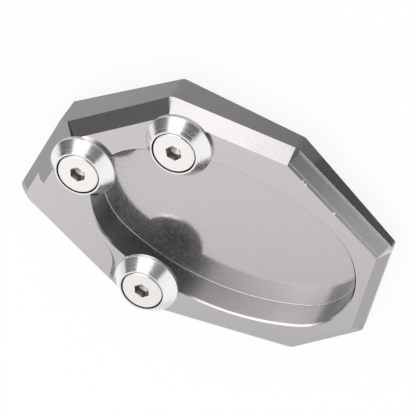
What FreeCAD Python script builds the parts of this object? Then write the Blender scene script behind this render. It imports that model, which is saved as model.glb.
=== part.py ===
import FreeCAD, Part
import math
import os

import Sketcher

# Kickstand foot enlarger: a milled aluminium plate that widens the foot of a side stand.
# The foot drops into the oval pocket, and three cone washers on countersunk screws
# overhang the pocket's edge and hold the foot down.
#
# The plate is drawn in its top face's own frame: that face is Z = 0, the pocket's centre is
# the origin and X runs along the pocket. The underside is not parallel to the top face,
# so every piece is then tipped together by the wedge angle and stands on Z = 0.

doc = FreeCAD.newDocument("kickstand_foot_enlarger")
sheet = doc.addObject("Spreadsheet::Sheet", "sizes")

# Driving dimensions in millimetres and degrees

DIMENSIONS = [
    # pocket for the stand's foot
    ("pocket_length", 74.4),
    ("pocket_width", 46.6),
    ("pocket_end_radius", 19.4),
    ("pocket_depth", 8.75),
    ("pocket_rim", 0.4),
    ("pocket_floor_round", 0.25),
    # corners of the flat top face, clockwise from the heel end: how far each one lies
    # outside the pocket's end, and outside its side, or inside where it is negative
    ("corner_a_end", 7.9),
    ("corner_a_side", -11.95),
    ("corner_b_end", -15.35),
    ("corner_b_side", 8),
    ("corner_c_end", -26.55),
    ("corner_c_side", 8.2),
    ("corner_d_end", 2.6),
    ("corner_d_side", -8.5),
    ("corner_e_end", 2.9),
    ("corner_e_side", -13),
    ("corner_f_end", -12.6),
    ("corner_f_side", 2.45),
    ("corner_g_end", -19.1),
    ("corner_g_side", 9.9),
    ("corner_h_end", 14.35),
    ("corner_h_side", -8.7),
    # widths of the 45 degree bevels round the top face
    ("bevel_side", 3.56),
    ("bevel_heel", 5.4),
    ("bevel_toe", 2.65),
    ("bevel_toe_corner", 3.8),
    ("corner_round", 3.5),
    ("corner_round_small", 1.2),
    ("tip_round", 0.05),
    # depth of the vertical sides' lower edge below the top face, at the pocket's centre
    ("side_depth", 9.95),
    ("wedge_angle", 5.15),
    ("bevel_under", 4.3),
    # relief for the stand's leg, along the side from corner g to corner h; the land is
    # what stays of the top face between the relief and the pocket's end
    ("relief_land", 1.86),
    ("relief_depth", 2.9),
    ("relief_rim", 1.4),
    ("relief_cutter", 8.0),
    # screw places, measured as the corners are, and how far each screw happens to be turned
    ("heel_end", 3.02),
    ("heel_side", -18.58),
    ("heel_turn", 40.6),
    ("upper_end", -19.88),
    ("upper_side", 0.92),
    ("upper_turn", 52.4),
    ("lower_end", -21.8),
    ("lower_side", 1.12),
    ("lower_turn", 44.0),
    # countersunk screw; its shank is the thread's pitch diameter
    ("head_diameter", 11.3),
    ("head_lip", 0.8),
    ("head_edge", 0.2),
    ("shank_diameter", 5.35),
    ("screw_length", 12.0),
    ("screw_tip", 0.8),
    ("socket_width", 4.0),
    ("socket_depth", 2.5),
    # cone washer: its small face is a ring round the head, and its floor is under the head
    ("washer_diameter", 18.0),
    ("washer_face_ring", 0.45),
    ("washer_floor", 0.525),
    ("washer_band", 1.0),
    ("washer_hole_gap", 0.625),
    # clearances
    ("head_gap", 0.35),
    ("seat_gap", 0.02),
    ("thread_gap", 0.02),
    ("hole_spare", 2.0),
    ("relief_washer_gap", 0.45),
]

# Sizes that follow from the others

FORMULAS = [
    ("blank_depth", "=pocket_length"),
    ("pocket_half_length", "=pocket_length / 2"),
    ("pocket_half_width", "=pocket_width / 2"),
    ("pocket_side_radius",
     "=(pocket_half_length ^ 2 + pocket_half_width ^ 2 - pocket_length * pocket_end_radius)"
     " / (pocket_width - 2 * pocket_end_radius)"),
    ("pocket_end_centre", "=pocket_half_length - pocket_end_radius"),
    ("pocket_side_centre", "=pocket_side_radius - pocket_half_width"),
    ("corner_a_x", "=-pocket_half_length - corner_a_end"),
    ("corner_a_y", "=pocket_half_width + corner_a_side"),
    ("corner_b_x", "=-pocket_half_length - corner_b_end"),
    ("corner_b_y", "=pocket_half_width + corner_b_side"),
    ("corner_c_x", "=pocket_half_length + corner_c_end"),
    ("corner_c_y", "=pocket_half_width + corner_c_side"),
    ("corner_d_x", "=pocket_half_length + corner_d_end"),
    ("corner_d_y", "=pocket_half_width + corner_d_side"),
    ("corner_e_x", "=pocket_half_length + corner_e_end"),
    ("corner_e_y", "=-pocket_half_width - corner_e_side"),
    ("corner_f_x", "=pocket_half_length + corner_f_end"),
    ("corner_f_y", "=-pocket_half_width - corner_f_side"),
    ("corner_g_x", "=-pocket_half_length - corner_g_end"),
    ("corner_g_y", "=-pocket_half_width - corner_g_side"),
    ("corner_h_x", "=-pocket_half_length - corner_h_end"),
    ("corner_h_y", "=-pocket_half_width - corner_h_side"),
    ("heel_x", "=-pocket_half_length - heel_end"),
    ("heel_y", "=pocket_half_width + heel_side"),
    ("upper_x", "=-pocket_half_length - upper_end"),
    ("upper_y", "=pocket_half_width + upper_side"),
    ("lower_x", "=-pocket_half_length - lower_end"),
    ("lower_y", "=-pocket_half_width - lower_side"),
    ("blank_margin", "=max(bevel_side; bevel_heel; bevel_toe; bevel_toe_corner) + 0.6"),
    ("blank_round", "=blank_margin + tip_round"),
    ("under_lift", "=0.25 * bevel_under"),
    ("under_height", "=bevel_under + under_lift"),
    ("under_side", "=bevel_side + under_lift"),
    ("under_heel", "=bevel_heel + under_lift"),
    ("under_toe", "=bevel_toe + under_lift"),
    ("under_toe_corner", "=bevel_toe_corner + under_lift"),
    ("under_stretch", "=1 / cos(wedge_angle)"),
    ("under_plane", "=under_lift / cos(wedge_angle) - side_depth"),
    ("standing_height", "=side_depth * cos(wedge_angle) + bevel_under"),
    ("washer_radius", "=washer_diameter / 2"),
    ("relief_side_length",
     "=sqrt((corner_g_x - corner_h_x) ^ 2 + (corner_g_y - corner_h_y) ^ 2)"),
    ("relief_side_distance",
     "=((corner_h_x - corner_g_x) * corner_h_y"
     " + (corner_g_y - corner_h_y) * (pocket_end_centre + corner_h_x)) / relief_side_length"),
    ("relief_width", "=relief_side_distance - pocket_end_radius - relief_land"),
    ("relief_wall", "=relief_width - relief_rim"),
    ("relief_wall_x", "=lower_x - washer_radius - relief_washer_gap - relief_rim"),
    ("head_radius", "=head_diameter / 2"),
    ("shank_radius", "=shank_diameter / 2"),
    ("washer_height", "=head_lip + head_radius - shank_radius + washer_floor"),
    ("thread_hole", "=shank_diameter + 2 * thread_gap"),
    ("thread_hole_depth", "=screw_length - washer_height + hole_spare"),
    ("washer_hole_radius", "=shank_radius + washer_hole_gap"),
    ("recess_radius", "=head_radius + head_gap"),
    ("washer_face_radius", "=recess_radius + washer_face_ring"),
    ("head_cone_top", "=washer_height - head_lip"),
    ("recess_bottom", "=head_cone_top + head_gap - seat_gap * sqrt(2)"),
    ("cone_bottom", "=recess_bottom - recess_radius + washer_hole_radius"),
    ("head_flat_radius", "=head_radius - head_edge"),
    ("head_edge_height", "=washer_height - head_edge"),
    ("head_cone_bottom", "=head_cone_top - head_radius + shank_radius"),
    ("screw_end", "=washer_height - screw_length"),
    ("screw_tip_height", "=screw_end + screw_tip"),
    ("screw_tip_radius", "=shank_radius - screw_tip"),
    ("socket_corner_radius", "=socket_width / sqrt(3)"),
    ("socket_cone_radius", "=socket_width / 2"),
    ("socket_floor", "=washer_height - socket_depth"),
    ("socket_cone_floor", "=socket_floor - socket_cone_radius / 2"),
]

for row, (alias, value) in enumerate(DIMENSIONS + FORMULAS, start=1):
    sheet.set("A%d" % row, alias)
    sheet.set("B%d" % row, str(value))
    sheet.setAlias("B%d" % row, alias)
doc.recompute()


def size(alias):
    """A dimension's value as the sheet holds it, or 0 where no dimension is named."""
    return float(getattr(sheet, alias)) if alias else 0.0


FAR = 2 * (size("corner_d_x") - size("corner_h_x"))
SIDES = "abcdefgh"
NEAR = 1e-3


# Small helpers for sketches and features

def new_body(label):
    body = doc.addObject("PartDesign::Body", label)
    body.Label = label
    return body


def new_sketch(body, name, role):
    sketch = body.newObject("Sketcher::SketchObject", name)
    plane = next(item for item in body.Origin.OriginFeatures if item.Role == role)
    sketch.AttachmentSupport = (plane, [""])
    sketch.MapMode = "FlatFace"
    return sketch


def new_feature(body, kind, name, sketch, **settings):
    feature = body.newObject("PartDesign::" + kind, name)
    feature.Profile = sketch
    for key, value in settings.items():
        setattr(feature, key, value)
    return feature


def bind(sketch, constraint, expression):
    """Adds a sized constraint and ties it to the sheet."""
    index = sketch.addConstraint(constraint)
    sketch.setExpression("Constraints[%d]" % index, expression)


def hold(sketch, direction, geometry, point, value, expression):
    """Holds one coordinate of a sketch's point, on the axis where nothing is named."""
    constraint = Sketcher.Constraint("Distance" + direction, -1, 1, geometry, point, value)
    if expression:
        bind(sketch, constraint, expression)
    else:
        sketch.addConstraint(constraint)


def draw_polygon(sketch, points):
    """Draws a closed outline through points that are given as pairs of dimensions."""
    places = [FreeCAD.Vector(size(across), size(up), 0) for across, up in points]
    count = len(points)
    lines = []
    for index, start in enumerate(places):
        lines.append(sketch.addGeometry(Part.LineSegment(start, places[(index + 1) % count]), False))
    for index, line in enumerate(lines):
        following = lines[(index + 1) % count]
        sketch.addConstraint(Sketcher.Constraint("Coincident", line, 2, following, 1))
    for line, start, (across, up) in zip(lines, places, points):
        hold(sketch, "X", line, 1, start.x, across and "sizes." + across)
        hold(sketch, "Y", line, 1, start.y, up and "sizes." + up)


def side_crossing(before, corner, after, before_offset, after_offset):
    """Where the two sides at a corner meet after each has moved outwards."""
    first = (corner - before).normalize()
    second = (after - corner).normalize()
    first_out = FreeCAD.Vector(-first.y, first.x, 0)
    second_out = FreeCAD.Vector(-second.y, second.x, 0)
    shift = second_out * after_offset - first_out * before_offset
    turn = first.x * second.y - first.y * second.x
    return corner + first_out * before_offset + first * ((shift.x * second.y - shift.y * second.x) / turn)


def round_corner(sketch, before, after, before_along, radius_alias):
    """Joins two sides of a clockwise outline with a tangent arc."""
    radius = size(radius_alias)
    start = sketch.Geometry[before].EndPoint
    end = sketch.Geometry[after].StartPoint
    centre = start + FreeCAD.Vector(before_along.y, -before_along.x, 0) * radius
    first_angle = math.atan2(end.y - centre.y, end.x - centre.x)
    last_angle = math.atan2(start.y - centre.y, start.x - centre.x)
    if last_angle < first_angle:
        last_angle += 2 * math.pi
    circle = Part.Circle(centre, FreeCAD.Vector(0, 0, 1), radius)
    arc = sketch.addGeometry(Part.ArcOfCircle(circle, first_angle, last_angle), False)
    sketch.addConstraint(Sketcher.Constraint("Tangent", before, 2, arc, 2))
    sketch.addConstraint(Sketcher.Constraint("Tangent", arc, 1, after, 1))
    bind(sketch, Sketcher.Constraint("Radius", arc, radius), "sizes." + radius_alias)


def draw_outline(sketch, offsets, rounds, stretch_alias=None):
    """Draws the top face's outline with each side moved outwards by its own dimension.

    rounds names the radius at each corner, or nothing where it is sharp. A stretch
    lengthens X, for a sketch on the tilted plane of the underside.
    """
    stretch = size(stretch_alias) if stretch_alias else 1.0
    corners = [
        FreeCAD.Vector(size("corner_%s_x" % side) * stretch, size("corner_%s_y" % side), 0)
        for side in SIDES
    ]
    count = len(corners)
    face_lines = []
    for index, side in enumerate(SIDES):
        line = sketch.addGeometry(Part.LineSegment(corners[index], corners[(index + 1) % count]), True)
        across = "sizes.corner_%s_x" % side
        if stretch_alias:
            across += " * sizes." + stretch_alias
        hold(sketch, "X", line, 1, corners[index].x, across)
        hold(sketch, "Y", line, 1, corners[index].y, "sizes.corner_%s_y" % side)
        face_lines.append(line)
    for index, line in enumerate(face_lines):
        sketch.addConstraint(Sketcher.Constraint("Coincident", line, 2, face_lines[(index + 1) % count], 1))

    meets = []
    for index in range(count):
        meets.append(side_crossing(
            corners[index - 1], corners[index], corners[(index + 1) % count],
            size(offsets[index - 1]), size(offsets[index])))
    along = [(meets[(index + 1) % count] - meets[index]).normalize() for index in range(count)]
    trims = []
    for index in range(count):
        half_turn = along[index - 1].getAngle(along[index]) / 2
        trims.append(size(rounds[index]) * math.tan(half_turn))

    lines = []
    for index in range(count):
        after = (index + 1) % count
        start = meets[index] + along[index] * trims[index]
        end = meets[after] - along[index] * trims[after]
        line = sketch.addGeometry(Part.LineSegment(start, end), False)
        sketch.addConstraint(Sketcher.Constraint("Parallel", face_lines[index], line))
        offset = Sketcher.Constraint("Distance", face_lines[index], 1, line, size(offsets[index]))
        bind(sketch, offset, "sizes." + offsets[index])
        lines.append(line)
    for index in range(count):
        if rounds[index]:
            round_corner(sketch, lines[index - 1], lines[index], along[index - 1], rounds[index])
        else:
            sketch.addConstraint(Sketcher.Constraint("Coincident", lines[index - 1], 2, lines[index], 1))


def edges_where(feature, test):
    """Names of the edges whose points all pass a test, a cone's zero-length tip left out."""
    names = []
    for number, edge in enumerate(feature.Shape.Edges, start=1):
        if edge.Length > NEAR and all(test(point) for point in edge.discretize(5)):
            names.append("Edge%d" % number)
    return names


def near(value, target):
    return abs(value - target) < NEAR


# The plate's blank: one 45 degree bevel runs down from the top face past every side

plate = new_body("base_plate")

blank_outline = new_sketch(plate, "blank_outline", "XY_Plane")
draw_outline(blank_outline, ["blank_margin"] * len(SIDES), [None] + ["blank_round"] * 7)
blank = new_feature(plate, "Pad", "blank", blank_outline, Reversed=True)
blank.setExpression("Length", "sizes.blank_depth")
doc.recompute()

bevel = plate.newObject("PartDesign::Chamfer", "top_bevel")
bevel.Base = (blank, edges_where(blank, lambda point: near(point.z, 0)))
bevel.setExpression("Size", "sizes.blank_margin")
doc.recompute()

# Underneath, the blank ends on a plane tilted by the wedge angle, and a tapered pad
# carries on from there to the underside: its taper is the lower bevel

TILT = FreeCAD.Rotation(FreeCAD.Vector(0, 1, 0), -size("wedge_angle"))


def new_tilted_sketch(name):
    sketch = new_sketch(plate, name, "XY_Plane")
    sketch.AttachmentOffset = FreeCAD.Placement(FreeCAD.Vector(0, 0, size("under_plane")), TILT)
    sketch.setExpression("AttachmentOffset.Base.z", "sizes.under_plane")
    return sketch


def draw_surround(sketch):
    """Draws a rectangle that lies well outside the plate."""
    corners = [
        FreeCAD.Vector(-FAR, -FAR, 0),
        FreeCAD.Vector(FAR, -FAR, 0),
        FreeCAD.Vector(FAR, FAR, 0),
        FreeCAD.Vector(-FAR, FAR, 0),
    ]
    lines = []
    for index, start in enumerate(corners):
        end = corners[(index + 1) % len(corners)]
        lines.append(sketch.addGeometry(Part.LineSegment(start, end), False))
    for index, line in enumerate(lines):
        sketch.addConstraint(Sketcher.Constraint("Coincident", line, 2, lines[(index + 1) % len(lines)], 1))
        hold(sketch, "X", line, 1, corners[index].x, None)
        hold(sketch, "Y", line, 1, corners[index].y, None)


below = new_tilted_sketch("below_the_sides")
draw_surround(below)
new_feature(plate, "Pocket", "tilted_end", below, Type="ThroughAll")
doc.recompute()

under_outline = new_tilted_sketch("under_outline")
under_offsets = ["under_side"] * 3 + ["under_toe", "under_toe_corner"] + ["under_side"] * 2 + ["under_heel"]
draw_outline(under_outline, under_offsets, [None] * len(SIDES), "under_stretch")
under = new_feature(plate, "Pad", "underside", under_outline, Reversed=True, TaperAngle=-45)
under.setExpression("Length", "sizes.under_height")
doc.recompute()

# The sides are milled back to the plate's own outline, upright to the top face

side_outline = new_sketch(plate, "side_outline", "XY_Plane")
draw_surround(side_outline)
side_offsets = ["bevel_side"] * 3 + ["bevel_toe", "bevel_toe_corner"] + ["bevel_side"] * 2 + ["bevel_heel"]
side_rounds = [None, "corner_round", "corner_round", "corner_round_small"]
side_rounds += ["corner_round"] * 3 + ["corner_round_small"]
draw_outline(side_outline, side_offsets, side_rounds)
new_feature(plate, "Pocket", "sides", side_outline, Type="ThroughAll")
doc.recompute()

# Oval pocket: two end arcs and two flatter side arcs, each tangent to the next

pocket_outline = new_sketch(plate, "pocket_outline", "XY_Plane")
join = math.atan2(size("pocket_side_centre"), size("pocket_end_centre"))
arc_sizes = [
    (size("pocket_end_centre"), 0, size("pocket_end_radius"), -join, join),
    (0, -size("pocket_side_centre"), size("pocket_side_radius"), join, math.pi - join),
    (-size("pocket_end_centre"), 0, size("pocket_end_radius"), math.pi - join, math.pi + join),
    (0, size("pocket_side_centre"), size("pocket_side_radius"), math.pi + join, 2 * math.pi - join),
]
toe_arc, upper_arc, heel_arc, lower_arc = [
    pocket_outline.addGeometry(
        Part.ArcOfCircle(
            Part.Circle(FreeCAD.Vector(across, up, 0), FreeCAD.Vector(0, 0, 1), radius), first, last),
        False)
    for across, up, radius, first, last in arc_sizes
]
round_trip = [toe_arc, upper_arc, heel_arc, lower_arc, toe_arc]
for arc, following in zip(round_trip, round_trip[1:]):
    pocket_outline.addConstraint(Sketcher.Constraint("Tangent", arc, 2, following, 1))
hold(pocket_outline, "X", toe_arc, 3, size("pocket_end_centre"), "sizes.pocket_end_centre")
hold(pocket_outline, "Y", toe_arc, 3, 0, None)
hold(pocket_outline, "X", heel_arc, 3, -size("pocket_end_centre"), "-sizes.pocket_end_centre")
hold(pocket_outline, "Y", heel_arc, 3, 0, None)
hold(pocket_outline, "X", upper_arc, 3, 0, None)
hold(pocket_outline, "Y", upper_arc, 3, -size("pocket_side_centre"), "-sizes.pocket_side_centre")
end_radius = Sketcher.Constraint("Radius", toe_arc, size("pocket_end_radius"))
bind(pocket_outline, end_radius, "sizes.pocket_end_radius")
pocket = new_feature(plate, "Pocket", "foot_pocket", pocket_outline)
pocket.setExpression("Length", "sizes.pocket_depth")
doc.recompute()


def over_pocket(point):
    within_length = abs(point.x) < size("pocket_half_length") + NEAR
    return within_length and abs(point.y) < size("pocket_half_width") + NEAR


pocket_floor = plate.newObject("PartDesign::Fillet", "pocket_floor_round")
pocket_floor.Base = (pocket, edges_where(pocket, lambda point: near(point.z, -size("pocket_depth"))))
pocket_floor.setExpression("Radius", "sizes.pocket_floor_round")
doc.recompute()

pocket_rim = plate.newObject("PartDesign::Chamfer", "pocket_rim")
pocket_rim.Base = (
    pocket_floor, edges_where(pocket_floor, lambda point: near(point.z, 0) and over_pocket(point)))
pocket_rim.setExpression("Size", "sizes.pocket_rim")
doc.recompute()

# Relief for the stand's leg: a shallow step that is open to the outside, from g to h

relief_outline = new_sketch(plate, "relief_outline", "XY_Plane")
corner_g = FreeCAD.Vector(size("corner_g_x"), size("corner_g_y"), 0)
corner_h = FreeCAD.Vector(size("corner_h_x"), size("corner_h_y"), 0)
outer_side = relief_outline.addGeometry(Part.LineSegment(corner_h, corner_g), True)
hold(relief_outline, "X", outer_side, 1, corner_h.x, "sizes.corner_h_x")
hold(relief_outline, "Y", outer_side, 1, corner_h.y, "sizes.corner_h_y")
hold(relief_outline, "X", outer_side, 2, corner_g.x, "sizes.corner_g_x")
hold(relief_outline, "Y", outer_side, 2, corner_g.y, "sizes.corner_g_y")

side_along = (corner_g - corner_h).normalize()
side_inwards = FreeCAD.Vector(-side_along.y, side_along.x, 0)
wall_foot = corner_h + side_inwards * size("relief_wall")


def on_wall(across):
    """The point of the relief's long wall, or of its extension, at a place along X."""
    return wall_foot + side_along * ((across - wall_foot.x) / side_along.x)


wall_end = on_wall(size("relief_wall_x"))
end_along = FreeCAD.Vector(0, -1, 0)
wall_trim = size("relief_cutter") * math.tan(side_along.getAngle(end_along) / 2)
relief_points = [
    on_wall(-FAR),
    wall_end - side_along * wall_trim,
    wall_end + end_along * wall_trim,
    FreeCAD.Vector(size("relief_wall_x"), -FAR, 0),
    FreeCAD.Vector(-FAR, -FAR, 0),
]
long_wall = relief_outline.addGeometry(Part.LineSegment(relief_points[0], relief_points[1]), False)
end_wall = relief_outline.addGeometry(Part.LineSegment(relief_points[2], relief_points[3]), False)
lower_edge = relief_outline.addGeometry(Part.LineSegment(relief_points[3], relief_points[4]), False)
heel_edge = relief_outline.addGeometry(Part.LineSegment(relief_points[4], relief_points[0]), False)
round_corner(relief_outline, long_wall, end_wall, side_along, "relief_cutter")
relief_outline.addConstraint(Sketcher.Constraint("Parallel", outer_side, long_wall))
wall_distance = Sketcher.Constraint("Distance", outer_side, 1, long_wall, size("relief_wall"))
bind(relief_outline, wall_distance, "sizes.relief_wall")
relief_outline.addConstraint(Sketcher.Constraint("Vertical", end_wall))
hold(relief_outline, "X", end_wall, 2, size("relief_wall_x"), "sizes.relief_wall_x")
hold(relief_outline, "Y", end_wall, 2, -FAR, None)
relief_outline.addConstraint(Sketcher.Constraint("Coincident", end_wall, 2, lower_edge, 1))
relief_outline.addConstraint(Sketcher.Constraint("Horizontal", lower_edge))
relief_outline.addConstraint(Sketcher.Constraint("Coincident", lower_edge, 2, heel_edge, 1))
hold(relief_outline, "X", heel_edge, 1, -FAR, None)
relief_outline.addConstraint(Sketcher.Constraint("Vertical", heel_edge))
relief_outline.addConstraint(Sketcher.Constraint("Coincident", heel_edge, 2, long_wall, 1))
relief = new_feature(plate, "Pocket", "leg_relief", relief_outline)
relief.setExpression("Length", "sizes.relief_depth")
doc.recompute()


def on_relief_rim(point):
    inwards = (point - corner_h).dot(side_inwards)
    inside = inwards < size("relief_wall") + NEAR and point.x < size("relief_wall_x") + NEAR
    return near(point.z, 0) and inside


relief_rim = plate.newObject("PartDesign::Chamfer", "relief_rim")
relief_rim.Base = (relief, edges_where(relief, on_relief_rim))
relief_rim.setExpression("Size", "sizes.relief_rim")
doc.recompute()

# Threaded holes for the three screws

hole_places = new_sketch(plate, "hole_places", "XY_Plane")
PLACES = ["heel", "upper", "lower"]
for place in PLACES:
    centre = FreeCAD.Vector(size(place + "_x"), size(place + "_y"), 0)
    circle = Part.Circle(centre, FreeCAD.Vector(0, 0, 1), size("thread_hole") / 2)
    mark = hole_places.addGeometry(circle, False)
    hold(hole_places, "X", mark, 3, centre.x, "sizes.%s_x" % place)
    hold(hole_places, "Y", mark, 3, centre.y, "sizes.%s_y" % place)
    bind(hole_places, Sketcher.Constraint("Diameter", mark, size("thread_hole")), "sizes.thread_hole")
doc.recompute()
holes = new_feature(plate, "Hole", "threaded_holes", hole_places)
holes.DepthType = "Dimension"
holes.DrillPoint = "Angled"
holes.setExpression("Diameter", "sizes.thread_hole")
holes.setExpression("Depth", "sizes.thread_hole_depth")
doc.recompute()

standing = FreeCAD.Placement(
    FreeCAD.Vector(0, 0, size("standing_height")),
    FreeCAD.Rotation(FreeCAD.Vector(0, 1, 0), size("wedge_angle")))
plate.Placement = standing


def standing_at(place):
    """Placement of a piece that stands on the top face at a screw's place."""
    on_face = FreeCAD.Placement(
        FreeCAD.Vector(size(place + "_x"), size(place + "_y"), 0),
        FreeCAD.Rotation(FreeCAD.Vector(0, 0, 1), size(place + "_turn")))
    return standing.multiply(on_face)


def revolve(body, name, points):
    """Turns a half section about the body's own Z axis."""
    section = new_sketch(body, name + "_section", "XZ_Plane")
    draw_polygon(section, points)
    turned = new_feature(body, "Revolution", name, section, Angle=360)
    turned.ReferenceAxis = (section, ["V_Axis"])
    return turned


# Cone washer: a turned cup with a recess for the screw's head


def make_washer(place):
    body = new_body("washer_" + place)
    revolve(body, "cup_" + place, [
        ("washer_hole_radius", None),
        ("washer_radius", None),
        ("washer_radius", "washer_band"),
        ("washer_face_radius", "washer_height"),
        ("recess_radius", "washer_height"),
        ("recess_radius", "recess_bottom"),
        ("washer_hole_radius", "cone_bottom"),
    ])
    body.Placement = standing_at(place)
    return body


# Countersunk screw with a hexagon socket, its head level with the washer's small face


def draw_hexagon(sketch):
    radius = size("socket_corner_radius")
    circle = Part.Circle(FreeCAD.Vector(0, 0, 0), FreeCAD.Vector(0, 0, 1), radius)
    ring = sketch.addGeometry(circle, True)
    sketch.addConstraint(Sketcher.Constraint("Coincident", ring, 3, -1, 1))
    bind(sketch, Sketcher.Constraint("Radius", ring, radius), "sizes.socket_corner_radius")
    corners = []
    for index in range(6):
        angle = index * math.pi / 3
        corners.append(FreeCAD.Vector(radius * math.cos(angle), radius * math.sin(angle), 0))
    flats = []
    for index, start in enumerate(corners):
        flats.append(sketch.addGeometry(Part.LineSegment(start, corners[(index + 1) % 6]), False))
    for index, flat in enumerate(flats):
        sketch.addConstraint(Sketcher.Constraint("Coincident", flat, 2, flats[(index + 1) % 6], 1))
        sketch.addConstraint(Sketcher.Constraint("PointOnObject", flat, 1, ring))
        if index:
            sketch.addConstraint(Sketcher.Constraint("Equal", flats[0], flat))
    sketch.addConstraint(Sketcher.Constraint("PointOnObject", flats[0], 1, -1))


def make_screw(place):
    body = new_body("screw_" + place)
    revolve(body, "blank_" + place, [
        (None, "washer_height"),
        ("head_flat_radius", "washer_height"),
        ("head_radius", "head_edge_height"),
        ("head_radius", "head_cone_top"),
        ("shank_radius", "head_cone_bottom"),
        ("shank_radius", "screw_tip_height"),
        ("screw_tip_radius", "screw_end"),
        (None, "screw_end"),
    ])
    doc.recompute()
    hexagon = new_sketch(body, "socket_outline_" + place, "XY_Plane")
    hexagon.setExpression("AttachmentOffset.Base.z", "sizes.washer_height")
    draw_hexagon(hexagon)
    socket = new_feature(body, "Pocket", "socket_" + place, hexagon)
    socket.setExpression("Length", "sizes.socket_depth")
    doc.recompute()
    point_section = new_sketch(body, "socket_point_section_" + place, "XZ_Plane")
    draw_polygon(point_section, [
        (None, "socket_floor"),
        ("socket_cone_radius", "socket_floor"),
        (None, "socket_cone_floor"),
    ])
    point = new_feature(body, "Groove", "socket_point_" + place, point_section, Angle=360)
    point.ReferenceAxis = (point_section, ["V_Axis"])
    body.Placement = standing_at(place)
    return body


parts = [plate]
parts += [make_washer(place) for place in PLACES]
parts += [make_screw(place) for place in PLACES]
doc.recompute()

# Nothing is written unless every object is sound

for item in doc.Objects:
    if "Invalid" in item.State or "Error" in item.State:
        raise RuntimeError("%s did not recompute: %s" % (item.Name, item.State))
for part in parts:
    if part.Shape.isNull() or not part.Shape.isValid() or len(part.Shape.Solids) != 1:
        raise RuntimeError("%s is not one sound solid" % part.Label)

os.makedirs("parts", exist_ok=True)
for part in parts:
    part.Shape.exportStep("parts/%s.step" % part.Label)
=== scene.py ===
"""Looks of the kickstand foot plate: materials, floor, studio light and the photograph's camera."""

import math

import bpy
from mathutils import Matrix, Vector

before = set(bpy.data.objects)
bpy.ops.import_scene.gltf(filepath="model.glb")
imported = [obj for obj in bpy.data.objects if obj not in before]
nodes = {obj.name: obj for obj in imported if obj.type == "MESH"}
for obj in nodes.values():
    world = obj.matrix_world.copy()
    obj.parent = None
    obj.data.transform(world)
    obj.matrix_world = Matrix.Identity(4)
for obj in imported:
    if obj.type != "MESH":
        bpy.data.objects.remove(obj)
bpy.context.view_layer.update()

# Millimetres in a metre
MM = 1000.0

# The plate's own frame, in mm: its origin is the middle of the pocket's mouth, X runs along the
# pocket to the toe, and Z is square to the top face, which tilts down to the toe by the wedge
WEDGE = math.radians(5.15)
TOP_HEIGHT = 14.21
TOP_NORMAL = (math.sin(WEDGE), 0.0, math.cos(WEDGE))
POCKET_DEPTH = 8.75
POCKET_RIM = 0.4
RELIEF_DEPTH = 2.9

# Half length and half width of an ellipse that holds the pocket and none of the outer bevels
ROUND_THE_POCKET = (39.5, 26.0)

# Cone washers: their centres in the plate's frame, their height and the recess round the screw
WASHER_CENTRES = {
    "heel": (-40.22, 4.72, 0.0),
    "upper": (-17.32, 24.22, 0.0),
    "lower": (-15.40, -24.42, 0.0),
}
WASHER_HEIGHT = 4.3
RECESS_RADIUS = 6.02


def colour(code):
    """An sRGB hex colour as the linear colour that a shader takes."""
    channels = [int(code[i:i + 2], 16) / 255 for i in (0, 2, 4)]
    linear = [c / 12.92 if c <= 0.04045 else ((c + 0.055) / 1.055) ** 2.4 for c in channels]
    return (*linear, 1.0)


def add(tree, kind, inputs=(), output=None, **settings):
    """Add a node with its settings and return the output named, or else its first one.

    The inputs, by name or in the order of the inputs in use, are values or the sockets that
    feed them.
    """
    node = tree.nodes.new("ShaderNode" + kind)
    for key, value in settings.items():
        setattr(node, key, value)
    if isinstance(inputs, dict):
        feeds = [(node.inputs[name], value) for name, value in inputs.items()]
    else:
        feeds = zip([socket for socket in node.inputs if socket.enabled], inputs)
    for socket, value in feeds:
        if isinstance(value, bpy.types.NodeSocket):
            tree.links.new(value, socket)
        else:
            socket.default_value = value
    if output:
        return node.outputs[output]
    return next((socket for socket in node.outputs if socket.enabled), None)


def fade(tree, *parts):
    """A number that changes smoothly over the surface: the product of its parts.

    A part is a socket, or a value with the two places between which the part goes from 0 to 1,
    or from one number to another where two more numbers follow.
    """
    product = None
    for part in parts:
        if isinstance(part, tuple):
            part = add(tree, "MapRange", part, interpolation_type="SMOOTHSTEP")
        if product is None:
            product = part
        else:
            product = add(tree, "Math", (product, part), operation="MULTIPLY")
    return product


def total(tree, *parts):
    """The sum of parts that are given as in fade."""
    amount = fade(tree, parts[0])
    for part in parts[1:]:
        amount = add(tree, "Math", (amount, fade(tree, part)), operation="ADD")
    return amount


def either(tree, first, second):
    """The larger of two parts that are given as in fade."""
    return add(tree, "Math", (fade(tree, first), fade(tree, second)), operation="MAXIMUM")


def coated(tree, tone, *coats):
    """A tone with coats laid over it in turn: each is where it lies, and its colour."""
    for where, coat in coats:
        tone = add(tree, "Mix", (fade(tree, where), tone, coat), data_type="RGBA")
    return tone


def profile(tree, value, low, high, stops):
    """A number drawn over value from low to high by straight lines between (value, number) stops."""
    share = add(tree, "MapRange", (value, low, high))
    drawn = add(tree, "ValToRGB", (share,))
    elements = drawn.node.color_ramp.elements
    while len(elements) < len(stops):
        elements.new(0.5)
    for element, (at, number) in zip(elements, stops):
        element.position = (at - low) / (high - low)
        element.color = (number, number, number, 1.0)
    return drawn


def new_material(name):
    """A material without nodes, and its node tree."""
    material = bpy.data.materials.new(name)
    material.use_nodes = True
    material.node_tree.nodes.clear()
    return material, material.node_tree


def wear(piece, material):
    """Put a material on a piece of the object, in place of the plain one that it came with."""
    slots = nodes[piece].data.materials
    slots.clear()
    slots.append(material)


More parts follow.
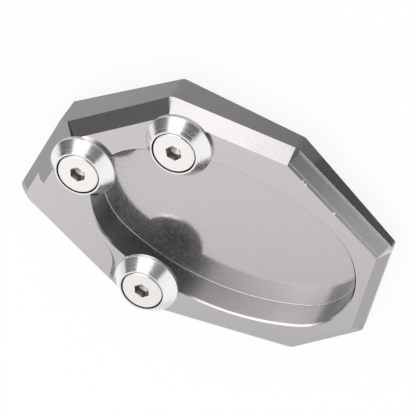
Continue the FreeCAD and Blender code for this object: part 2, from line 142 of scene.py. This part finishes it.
def plate_point(tree, centre=(0.0, 0.0, 0.0)):
    """Where a point of the surface is in the plate's own frame, in mm, from a centre."""
    shift = (
        TOP_HEIGHT * math.sin(WEDGE) - centre[0],
        -centre[1],
        -TOP_HEIGHT * math.cos(WEDGE) - centre[2],
    )
    return add(tree, "Mapping", {
        "Vector": add(tree, "TexCoord", output="Object"),
        "Scale": (MM, MM, MM), "Rotation": (0.0, -WEDGE, 0.0), "Location": shift,
    })


def from_middle(tree, point, half_length=1.0, half_width=1.0):
    """How far a point lies from the upright axis: in mm, or as a share of an ellipse's halves."""
    shares = (1 / half_length, 1 / half_width, 0.0)
    scaled = add(tree, "VectorMath", (point, shares), operation="MULTIPLY")
    return add(tree, "VectorMath", (scaled,), operation="LENGTH")


# Milled aluminium, blasted and clear anodised: light grey with a fine grain on the flat faces,
# smoother and more mirror-like on the bevels and sides, with the cutter's marks along them
plate_material, tree = new_material("anodised_milled_aluminium")
point = plate_point(tree)
along, across, level = add(tree, "SeparateXYZ", (point,)).node.outputs
normal = add(tree, "TexCoord", output="Normal")
endways, sideways, _ = add(tree, "SeparateXYZ", (normal,)).node.outputs
# How far the surface faces up, square to the plate: 1 flat, 0.7 on a bevel, 0 on a side
upwards = add(tree, "VectorMath", (normal, TOP_NORMAL), operation="DOT_PRODUCT")
flat = fade(tree, (add(tree, "Math", (upwards,), operation="ABSOLUTE"), 0.90, 0.97))
steep = fade(tree, (upwards, 0.50, 0.25))
in_pocket = fade(tree, (from_middle(tree, point, *ROUND_THE_POCKET), 1.0, 0.98))

# How many of each lie side by side in a mm. Blasting leaves about twenty grains and the cutter
# about ten marks: both are too fine to show here, and are drawn three to six times as coarse,
# but for the fine lines of the toe bevel, which are drawn at nearly their real size
GRAINS_PER_MM = 3.2
CLOUDS_PER_MM = 0.09
SPECKS_PER_MM = 2.2
MARKS_PER_MM = 3.0
FINE_LINES_PER_MM = 9.0
grain = add(tree, "TexNoise", {"Vector": point, "Scale": GRAINS_PER_MM, "Detail": 2.0})
clouds = add(tree, "TexNoise", {"Vector": point, "Scale": CLOUDS_PER_MM, "Detail": 2.0})
specks = add(tree, "TexNoise", {"Vector": point, "Scale": SPECKS_PER_MM, "Detail": 4.0})
marks = add(tree, "TexNoise", {"W": level, "Scale": MARKS_PER_MM, "Detail": 4.0}, noise_dimensions="1D")
cross_marks = add(tree, "TexNoise", {"W": along, "Scale": MARKS_PER_MM, "Detail": 3.0},
                  noise_dimensions="1D")
fine_lines = add(tree, "TexNoise", {"W": level, "Scale": FINE_LINES_PER_MM, "Detail": 3.0},
                 noise_dimensions="1D")

# Tones for painted highlights, for the cutter's marks, and a dark one for a line at the heel and the painted
# shade on the relief's end wall
PAINTED_HIGHLIGHT = colour("C8C6C7")
MARK_SHADE = colour("8A8788")
DARK_TONE = colour("6A6768")
blasted = coated(tree, colour("CFCBCC"), ((grain, 0.3, 0.7, 0.0, 0.1), colour("A7A4A5")))
# The bevels and sides have a darker base than the flat faces: partly their milled finish, partly painted
# shade standing in for the dim surroundings that they reflect
milled_tone_and_shade = coated(tree, colour("A7A4A5"), (in_pocket, colour("A5A4A4")))
tone = coated(tree, milled_tone_and_shade, (flat, blasted))

# Small chips along the toe bevel's upper edge, where the metal shows bright
CHIPS = [(15.7, 28.8, -0.1), (16.6, 28.2, -0.1), (25.8, 23.1, -0.1)]
for chip in CHIPS:
    away = add(tree, "VectorMath", (point, chip), operation="DISTANCE")
    tone = coated(tree, tone, ((away, 0.45, 0.25), colour("FFFFFF")))

# The pocket's rim and the round at its floor get a painted highlight in a bright tone; the half
# of the rim that faces away from the upper washer gets painted shade instead
pocket_edges = fade(tree, in_pocket, (upwards, 0.99, 0.9))
rim = fade(tree, pocket_edges, (level, -POCKET_RIM - 0.2, -POCKET_RIM - 0.05))
rim_painted_light_and_shade = coated(tree, colour("5A5859"), ((sideways, -0.1, 0.1), PAINTED_HIGHLIGHT))
floor_round = fade(tree, (level, 0.2 - POCKET_DEPTH, 0.13 - POCKET_DEPTH),
                   (level, -0.25 - POCKET_DEPTH, -0.05 - POCKET_DEPTH))
tone = coated(tree, tone, (rim, rim_painted_light_and_shade), (fade(tree, pocket_edges, floor_round), PAINTED_HIGHLIGHT))

# Painted highlights: bright lines along both edges of the toe bevel and a bright corner where it
# meets the bevel of the toe's end; the cutter's fine lines run between the edges
toe_bevel = fade(tree, (sideways, 0.57, 0.59), (sideways, 0.66, 0.64))
toe_corner = fade(tree, (sideways, 0.3, 0.4), (sideways, 0.6, 0.57), (along, 36.0, 37.0, 0.0, 0.9))
edge_highlights = profile(tree, level, -4.0, 0.0, [
    (-3.6, 1.0), (-3.42, 1.0), (-3.34, 0.0), (-3.24, 0.0), (-3.14, 1.0), (-3.02, 0.0),
    (-0.78, 0.0), (-0.66, 1.0), (-0.54, 0.0), (-0.12, 0.0), (-0.04, 0.3), (0.0, 0.3),
])
edge_highlights = either(tree, fade(tree, edge_highlights, toe_bevel), toe_corner)
edge_highlights = fade(tree, edge_highlights, (upwards, 0.4, 0.5), (flat, 1.0, 0.0))
toe_lines = fade(tree, toe_bevel, (fine_lines, 0.35, 0.65, 0.0, 0.3))
tone = coated(tree, tone, (edge_highlights, colour("F4F2F3")), (toe_lines, MARK_SHADE))

# On the two bevels beside the upper washer the marks run across, and are faint next to it
cross_bevels = either(tree, (sideways, 0.68, 0.70), (sideways, 0.57, 0.55))
cross_bevels = fade(tree, cross_bevels, (sideways, 0.45, 0.5), (upwards, 0.4, 0.5))
strength = either(tree, (along, -10.0, 10.0, 0.03, 0.25), (along, -20.0, -23.0, 0.0, 0.3))
ripples = fade(tree, (cross_marks, 0.35, 0.65), strength)
tone = coated(tree, tone, (fade(tree, cross_bevels, ripples), MARK_SHADE))

# The heel bevel of the two is painted darker along a narrow line at the heel
HEEL_LINE_DIRECTION = (0.34, 0.94, 0.0)
across_heel_line = add(tree, "VectorMath", (point, HEEL_LINE_DIRECTION), operation="DOT_PRODUCT")
heel_dark_line = fade(tree, (across_heel_line, -3.65, -3.85), cross_bevels, (along, -42.0, -43.0))

# The relief's rounded end wall gets painted shade, a darker tone
end_wall = fade(
    tree, (along, -29.0, -27.5), (along, -23.0, -24.0), (across, -19.0, -20.5), (across, -29.2, -28.4),
    (level, -RELIEF_DEPTH - 0.3, -RELIEF_DEPTH - 0.1), (flat, 1.0, 0.0, 0.0, 0.9),
    (sideways, 0.4, 0.3), (endways, -0.2, -0.35),
)
tone = coated(tree, tone, (heel_dark_line, DARK_TONE), (end_wall, DARK_TONE))

# The grain shows most on the pocket's floor, which also has a thin matt veil with specks in it
by_the_floor = fade(tree, in_pocket, (level, -6.0, 0.15 - POCKET_DEPTH))
speckle = fade(tree, (grain, 0.45, 0.65, 0.0, 0.16), (by_the_floor, 0.0, 1.0, 0.3, 1.0))
veil = fade(tree, in_pocket, (level, 0.25 - POCKET_DEPTH, 0.05 - POCKET_DEPTH),
            (specks, 0.42, 0.6, 0.06, 0.24))
# The lines of painted highlight on the toe bevel are rougher too
edge_highlight_roughness = add(tree, "Math", (edge_highlights, 0.35), operation="MULTIPLY")
roughness = total(
    tree, (flat, 0.0, 1.0, 0.11, 0.07), (steep, 0.0, 1.0, 0.0, 0.07), speckle,
    (clouds, 0.3, 0.7, -0.01, 0.02), edge_highlight_roughness,
)

# Heights of the cutter's marks and of the grain, in mm
MARK_HEIGHT = 0.008
GRAIN_HEIGHT = 0.005
marks_bump = add(tree, "Bump", {
    "Height": fade(tree, marks, (flat, 0.0, 1.0, 1.0, 0.0)), "Distance": MARK_HEIGHT / MM, "Strength": 1.0,
})
grain_bump = add(tree, "Bump", {
    "Height": grain, "Distance": GRAIN_HEIGHT / MM, "Strength": 1.0, "Normal": marks_bump,
})
metal = add(tree, "BsdfPrincipled", {
    "Base Color": tone,
    "Metallic": add(tree, "Math", (1.0, veil), operation="SUBTRACT"),
    "Roughness": roughness,
    "Normal": grain_bump,
})
add(tree, "OutputMaterial", (metal,))
wear("base_plate", plate_material)


# The lathe's rings on a washer are about 0.05 mm apart, too fine to show, and are drawn four
# times as coarse. Their height and that of the scratches over them are in mm
RINGS_PER_MM = 5.0
RING_HEIGHT = 0.015
SCRATCH_HEIGHT = 0.016


def turned_aluminium(name, centre):
    """Bright turned aluminium: rings round the washer's own axis, left by the lathe's tool.

    They draw every reflection out into a sector. The band at the washer's foot is duller, with
    a bright line along its upper edge, and the recess round the screw's head has painted shade.
    """
    material, tree = new_material("turned_aluminium_" + name)
    point = plate_point(tree, centre)
    radius = from_middle(tree, point)
    rise = add(tree, "SeparateXYZ", (point,), "Z")
    speckle = add(tree, "TexNoise", {"Vector": point, "Scale": RINGS_PER_MM, "Detail": 2.0})
    uneven = total(tree, radius, (speckle, 0.2, 0.8, 0.0, 0.3))
    rings = add(tree, "TexNoise", {"W": uneven, "Scale": RINGS_PER_MM, "Detail": 4.0}, noise_dimensions="1D")
    # Painted shade in the recess round the screw's head
    recess = fade(tree, (radius, RECESS_RADIUS + 0.05, RECESS_RADIUS),
                  (rise, WASHER_HEIGHT - 0.05, WASHER_HEIGHT - 0.15))
    bright = coated(tree, colour("F9F7F7"), ((speckle, 0.45, 0.62), colour("E8E6E6")))
    above_foot = fade(tree, (rise, 0.05, 0.1, 0.1, 1.0))
    rings_bump = add(tree, "Bump", {
        "Height": rings, "Distance": RING_HEIGHT / MM, "Strength": above_foot,
    })
    scratches_bump = add(tree, "Bump", {
        "Height": speckle, "Distance": SCRATCH_HEIGHT / MM, "Strength": above_foot, "Normal": rings_bump,
    })
    polish = fade(tree, above_foot, (rings, 0.3, 0.7, 0.03, 0.12))
    band = profile(tree, rise, 0.0, WASHER_HEIGHT, [
        (0.05, 0.0), (0.1, 0.2), (0.88, 0.2), (0.96, 0.4), (1.06, 0.4), (1.14, 0.0),
    ])
    metal = add(tree, "BsdfPrincipled", {
        "Base Color": coated(tree, bright, (recess, colour("5A5858"))),
        "Metallic": 1.0,
        "Roughness": total(tree, polish, band),
        "Anisotropic": 0.7,
        "Tangent": add(tree, "Tangent", direction_type="RADIAL", axis="Z"),
        "Normal": scratches_bump,
    })
    add(tree, "OutputMaterial", (metal,))
    return material


for name, centre in WASHER_CENTRES.items():
    wear("washer_" + name, turned_aluminium(name, centre))

# Zinc-plated steel of the screws: pale and softly matt on the head, with painted shade making it greyer
# in the socket. The plating's grain of about 0.05 mm is too fine to show, and is drawn some six times as
# coarse
PLATING_GRAINS_PER_MM = 3.0
PLATING_HEIGHT = 0.004
screw_material, tree = new_material("plated_steel")
point = plate_point(tree)
rise = add(tree, "SeparateXYZ", (point,), "Z")
speckle = add(tree, "TexNoise", {"Vector": point, "Scale": PLATING_GRAINS_PER_MM, "Detail": 3.0})
pale = coated(tree, colour("FFFCFA"), ((speckle, 0.3, 0.7), colour("F9F6F4")))
# Painted shade in the socket
in_socket = (rise, WASHER_HEIGHT - 0.15, WASHER_HEIGHT - 0.3)
metal = add(tree, "BsdfPrincipled", {
    "Base Color": coated(tree, pale, (in_socket, colour("BAB6B2"))),
    "Metallic": 1.0,
    "Roughness": fade(tree, (speckle, 0.3, 0.7, 0.28, 0.34)),
    "Normal": add(tree, "Bump", {"Height": speckle, "Distance": PLATING_HEIGHT / MM, "Strength": 1.0}),
})
add(tree, "OutputMaterial", (metal,))
for name in WASHER_CENTRES:
    wear("screw_" + name, screw_material)


# Studio: a white floor, an even world, a soft lamp, and a tent of panels that the metal reflects

def towards(azimuth, elevation):
    """The direction at an azimuth from +X towards +Y and an elevation, in degrees."""
    a, e = math.radians(azimuth), math.radians(elevation)
    return Vector((math.cos(e) * math.cos(a), math.cos(e) * math.sin(a), math.sin(e)))


def stage_piece(name, points, faces, material):
    """A piece of the studio, which isn't part of the object."""
    mesh = bpy.data.meshes.new(name)
    mesh.from_pydata(points, [], faces)
    mesh.materials.append(material)
    piece = bpy.data.objects.new(name, mesh)
    bpy.context.scene.collection.objects.link(piece)
    return piece


def reflected_grid(name, points, row, tones):
    """A studio piece that shows in reflections only: a grid of points, so many in each row.

    The tones are each point's brightness and how much it covers what is behind it.
    """
    material, tree = new_material(name)
    tone = add(tree, "VertexColor", layer_name="tone").node.outputs
    glow = add(tree, "Emission", {"Color": tone["Color"]})
    clear = add(tree, "BsdfTransparent")
    add(tree, "OutputMaterial", (add(tree, "MixShader", (tone["Alpha"], clear, glow)),))
    material.cycles.emission_sampling = "NONE"

    faces = [(i, i + 1, i + row + 1, i + row) for i in range(len(points) - row) if (i + 1) % row]
    piece = stage_piece(name, points, faces, material)
    layer = piece.data.color_attributes.new("tone", "FLOAT_COLOR", "POINT")
    for item, (brightness, cover) in zip(layer.data, tones):
        item.color = (brightness, brightness, brightness, cover)
    piece.visible_camera = False
    piece.visible_diffuse = False
    piece.visible_shadow = False


def seen_directly(tree):
    """1 for the camera and for what shines or is clear, 0 for the light that falls on things."""
    path = add(tree, "LightPath").node.outputs
    seen = either(tree, path["Is Camera Ray"], path["Is Glossy Ray"])
    return either(tree, seen, path["Is Transmission Ray"])


# White paper: evenly white, and just dull enough to take the plate's shadow; its cloudiness of
# about 3 mm is as fine as real paper's
FLOOR_REACH = 3.0
FLOOR_WHITENESS = 0.9
CLOUDS_PER_METRE = 300.0
floor_material, tree = new_material("white_paper")
place = add(tree, "TexCoord", output="Object")
cloudiness = add(tree, "TexNoise", {"Vector": place, "Scale": CLOUDS_PER_METRE, "Detail": 2.0})
paper_tone = coated(tree, colour("FBFBFB"), (cloudiness, colour("FDFDFD")))
paper = add(tree, "BsdfDiffuse", {"Color": paper_tone})
white = add(tree, "Emission", {"Color": colour("FFFFFF"), "Strength": 1.0})
share = add(tree, "Math", (seen_directly(tree), FLOOR_WHITENESS), operation="MULTIPLY")
add(tree, "OutputMaterial", (add(tree, "MixShader", (share, paper, white)),))
corners = [(x * FLOOR_REACH, y * FLOOR_REACH, 0.0) for x, y in [(-1, -1), (1, -1), (1, 1), (-1, 1)]]
stage_piece("floor", corners, [(0, 1, 2, 3)], floor_material)

# Panels of the tent: azimuth and elevation ranges in degrees, how soft the edges are, brightness.
# A later panel lies over an earlier one
PANELS = [
    (-100, -40, 28, 46, 24, 0.5),     # behind the plate, for the top face and the pocket's floor
    (46, 95, 13, 30, 9, 0.1),         # dark, for the washers' cones
    (40.4, 89, 26, 44, 5, 0.35),      # its edge gives the toe bevel its tone
    (97, 143, 8, 36, 9, 1.25),        # bright, for the washers' cones
    (89.5, 143, 33, 46, 8, 2.6),      # brightest, for the bevel beside the upper washer
    (84, 91, 35, 41, 5, 2.6),         # the same, for the rounded corner at its toe end
    (108, 130, 42, 76, 22, 1.95),     # three bright ones, for the pocket's wall towards the toe
    (127, 178, 35, 76, 8, 2.1),
    (128, 146, 44, 76, 16, 2.4),
    (-54, 30, 31, 44, 8, 0.25),       # three dark ones, for the pocket's wall towards the heel
    (-25, 90, 39, 62, 6, 0.22),       # and the washers' bands
    (0, 89, 41, 56, 8, 0.04),
    (-178, -125, -5, 66, 10, 0.8),    # for the bevel at the heel's end
    (-178, -125, 46, 76, 8, 0.66),    # above it, for the pocket's wall at the toe's end
    (145, 189, -3, 33, 8, 0.25),      # dark, for the bevel between the heel and the upper washer
    (150, 187, -3, 14, 8, 0.12),      # its foot, for the washers' cones
]
TENT_RADIUS = 0.8
TENT_FOOT = -20
TENT_STEP = 2


def within(value, low, high, edge):
    """1 inside a range, 0 outside, with a smooth step of width edge centred on each end."""
    inside = min(value - low, high - value) / edge + 0.5
    inside = min(max(inside, 0.0), 1.0)
    return inside * inside * (3 - 2 * inside)


def tent_brightness(azimuth, elevation):
    """How bright the tent is in a direction: white, with the panels laid over it."""
    brightness = 1.0
    for az_low, az_high, el_low, el_high, edge, tone in PANELS:
        around = max(within(azimuth + turn, az_low, az_high, edge) for turn in (-360, 0, 360))
        share = around * within(elevation, el_low, el_high, edge)
        brightness += (tone - brightness) * share
    return brightness


azimuths = range(-180, 181, TENT_STEP)
elevations = range(TENT_FOOT, 91, TENT_STEP)
directions = [(azimuth, elevation) for elevation in elevations for azimuth in azimuths]
reflected_grid("tent", [towards(*d) * TENT_RADIUS for d in directions], len(azimuths),
               [(tent_brightness(*d), 1.0) for d in directions])

# Sheets on the floor beside the plate, which its sides and low bevels reflect: painted shade of the
# floor next to the plate, seen in reflections only, dark under the sides that face the camera and
# grey at the toe. Each has rays with their azimuth, brightness and cover, and rings with their
# radius in metres and cover
SHEETS = {
    "dark_floor_shade_sheet": (
        [(200, 1.0, 0.0), (178, 0.65, 1.0), (150, 0.62, 1.0), (125, 0.55, 1.0), (100, 0.5, 1.0),
         (75, 0.38, 1.0), (60, 0.19, 1.0), (45, 0.175, 1.0), (24, 0.2, 1.0), (17, 0.8, 0.0)],
        [(0.01, 1.0), (0.07, 1.0), (0.11, 0.0)],
    ),
    "toe_floor_shade_sheet": (
        [(-15, 0.77, 0.0), (-30, 0.77, 1.0), (-60, 0.77, 1.0), (-90, 0.77, 1.0), (-110, 0.77, 0.0)],
        [(0.01, 1.0), (0.09, 1.0), (0.13, 0.0)],
    ),
}
SHEET_HEIGHT = 0.0002
for name, (rays, rings) in SHEETS.items():
    points = [
        towards(azimuth, 0) * radius + Vector((0, 0, SHEET_HEIGHT))
        for radius, _ in rings for azimuth, _, _ in rays
    ]
    tones = [(tone, ray_cover * ring_cover) for _, ring_cover in rings for _, tone, ray_cover in rays]
    reflected_grid(name, points, len(rays), tones)


def softbox(name, azimuth, elevation, distance, size, power):
    """A round soft lamp that looks at the plate and isn't seen in its reflections."""
    light = bpy.data.lights.new(name, "AREA")
    light.shape = "DISK"
    light.size = size
    light.energy = power
    lamp = bpy.data.objects.new(name, light)
    direction = towards(azimuth, elevation)
    turn = direction.to_track_quat("Z", "Y").to_matrix().to_4x4()
    lamp.matrix_world = Matrix.Translation(direction * distance) @ turn
    lamp.visible_glossy = False
    bpy.context.scene.collection.objects.link(lamp)


softbox("overhead_softbox", azimuth=-94, elevation=75, distance=1.2, size=1.2, power=3.0)

AMBIENT = 0.85
world = bpy.data.worlds.new("studio")
bpy.context.scene.world = world
world.use_nodes = True
tree = world.node_tree
tree.nodes.clear()
ambient = add(tree, "Background", {"Color": colour("FFFFFF"), "Strength": AMBIENT})
white = add(tree, "Background", {"Color": colour("FFFFFF"), "Strength": 1.0})
add(tree, "OutputWorld", (add(tree, "MixShader", (seen_directly(tree), ambient, white)),))

bpy.context.scene.view_settings.view_transform = "Standard"

# Camera: place, turn and lens found by fitting the plate's edges to the photograph
CAMERA_PLACE = (0.10752, 0.39115, 0.44178)
CAMERA_RIGHT = Vector((0.87601, 0.22009, -0.42915))
CAMERA_BACK = Vector((0.19326, 0.65506, 0.73044))

camera_data = bpy.data.cameras.new("camera")
camera_data.sensor_width = 36.0
camera_data.lens = 196.0
camera_data.clip_start = 0.01
camera = bpy.data.objects.new("camera", camera_data)
bpy.context.scene.collection.objects.link(camera)
back = CAMERA_BACK.normalized()
right = (CAMERA_RIGHT - back * CAMERA_RIGHT.dot(back)).normalized()
turn = Matrix((right, back.cross(right), back)).transposed().to_4x4()
camera.matrix_world = Matrix.Translation(CAMERA_PLACE) @ turn
bpy.context.scene.camera = camera
